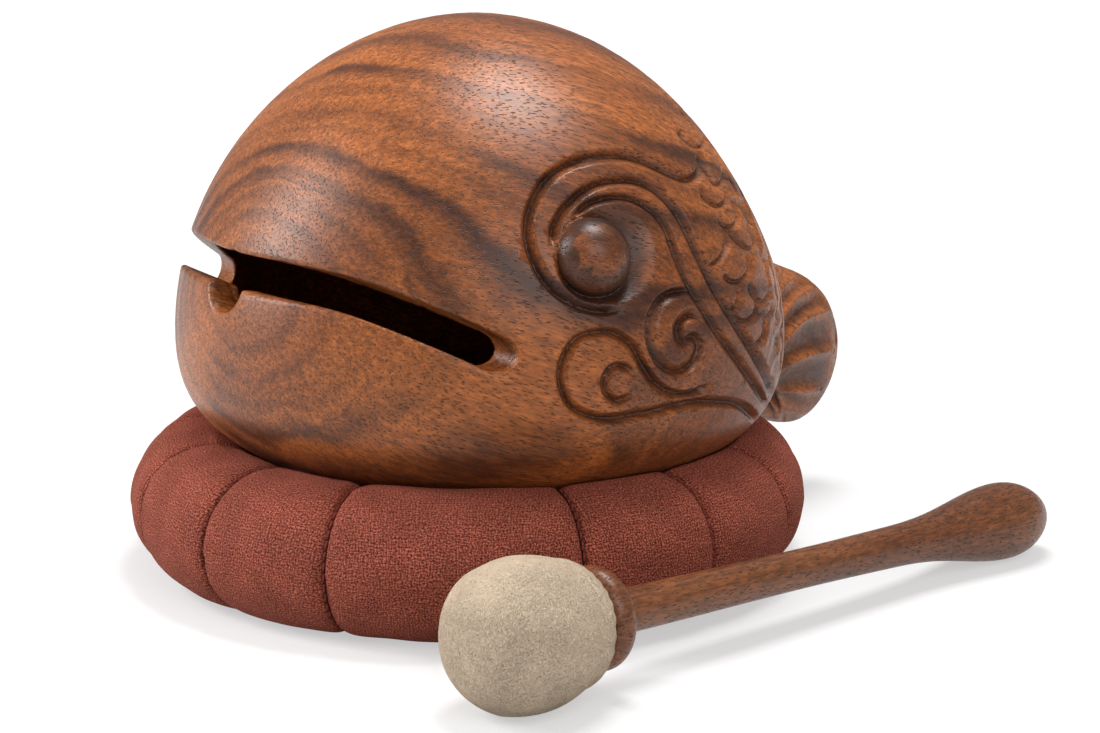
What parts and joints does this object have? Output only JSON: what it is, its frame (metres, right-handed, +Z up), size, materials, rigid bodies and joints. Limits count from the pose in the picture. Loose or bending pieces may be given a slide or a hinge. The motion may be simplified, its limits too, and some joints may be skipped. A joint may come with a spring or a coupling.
{
  "type": "wooden fish",
  "caption": "Hollow carved wooden fish drum resting on a sewn ring cushion, with a padded wooden mallet lying beside it.",
  "frame": {"origin": "bottom centre of the box round the whole set, on the surface that it stands on", "axes": "+Z up; the fish's mouth looks towards -X and its tail towards +X; the mallet lies on the -Y side"},
  "size_m": [0.232, 0.2294, 0.1535],
  "materials": {
    "fish_wood": "satin, hand rubbed",
    "handle_wood": "satin, turned",
    "core_wood": "raw, turned",
    "cushion_cloth": "plain woven",
    "seam_thread": "twisted thread",
    "wadding": "packed fibre",
    "felt": "wool felt",
    "suede": "napped suede",
    "tie_cord": "waxed cord"
  },
  "bodies": {
    "cushion": {"cushion_stuffing": "wadding", "cushion_panel_01": "cushion_cloth", "cushion_panel_02": "cushion_cloth", "cushion_panel_03": "cushion_cloth", "cushion_panel_04": "cushion_cloth", "cushion_panel_05": "cushion_cloth", "cushion_panel_06": "cushion_cloth", "cushion_panel_07": "cushion_cloth", "cushion_panel_08": "cushion_cloth", "cushion_panel_09": "cushion_cloth", "cushion_panel_10": "cushion_cloth", "cushion_panel_11": "cushion_cloth", "cushion_panel_12": "cushion_cloth", "cushion_panel_13": "cushion_cloth", "cushion_panel_14": "cushion_cloth", "seam_thread_01": "seam_thread", "seam_thread_02": "seam_thread", "seam_thread_03": "seam_thread", "seam_thread_04": "seam_thread", "seam_thread_05": "seam_thread", "seam_thread_06": "seam_thread", "seam_thread_07": "seam_thread", "seam_thread_08": "seam_thread", "seam_thread_09": "seam_thread", "seam_thread_10": "seam_thread", "seam_thread_11": "seam_thread", "seam_thread_12": "seam_thread", "seam_thread_13": "seam_thread", "seam_thread_14": "seam_thread"},
    "fish": {"fish_body": "fish_wood"},
    "mallet": {"mallet_handle": "handle_wood", "mallet_collar": "handle_wood", "head_core": "core_wood", "head_padding": "felt", "head_cover": "suede", "cover_tie": "tie_cord"}
  },
  "joints": [
    {"name": "fish_lift", "type": "slide", "parent": "cushion", "child": "fish", "axis": [0, 0, 1], "range_m": [0, 0.12]},
    {"name": "mallet_lift", "type": "slide", "parent": "cushion", "child": "mallet", "axis": [0, 0, 1], "range_m": [0, 0.2]}
  ]
}
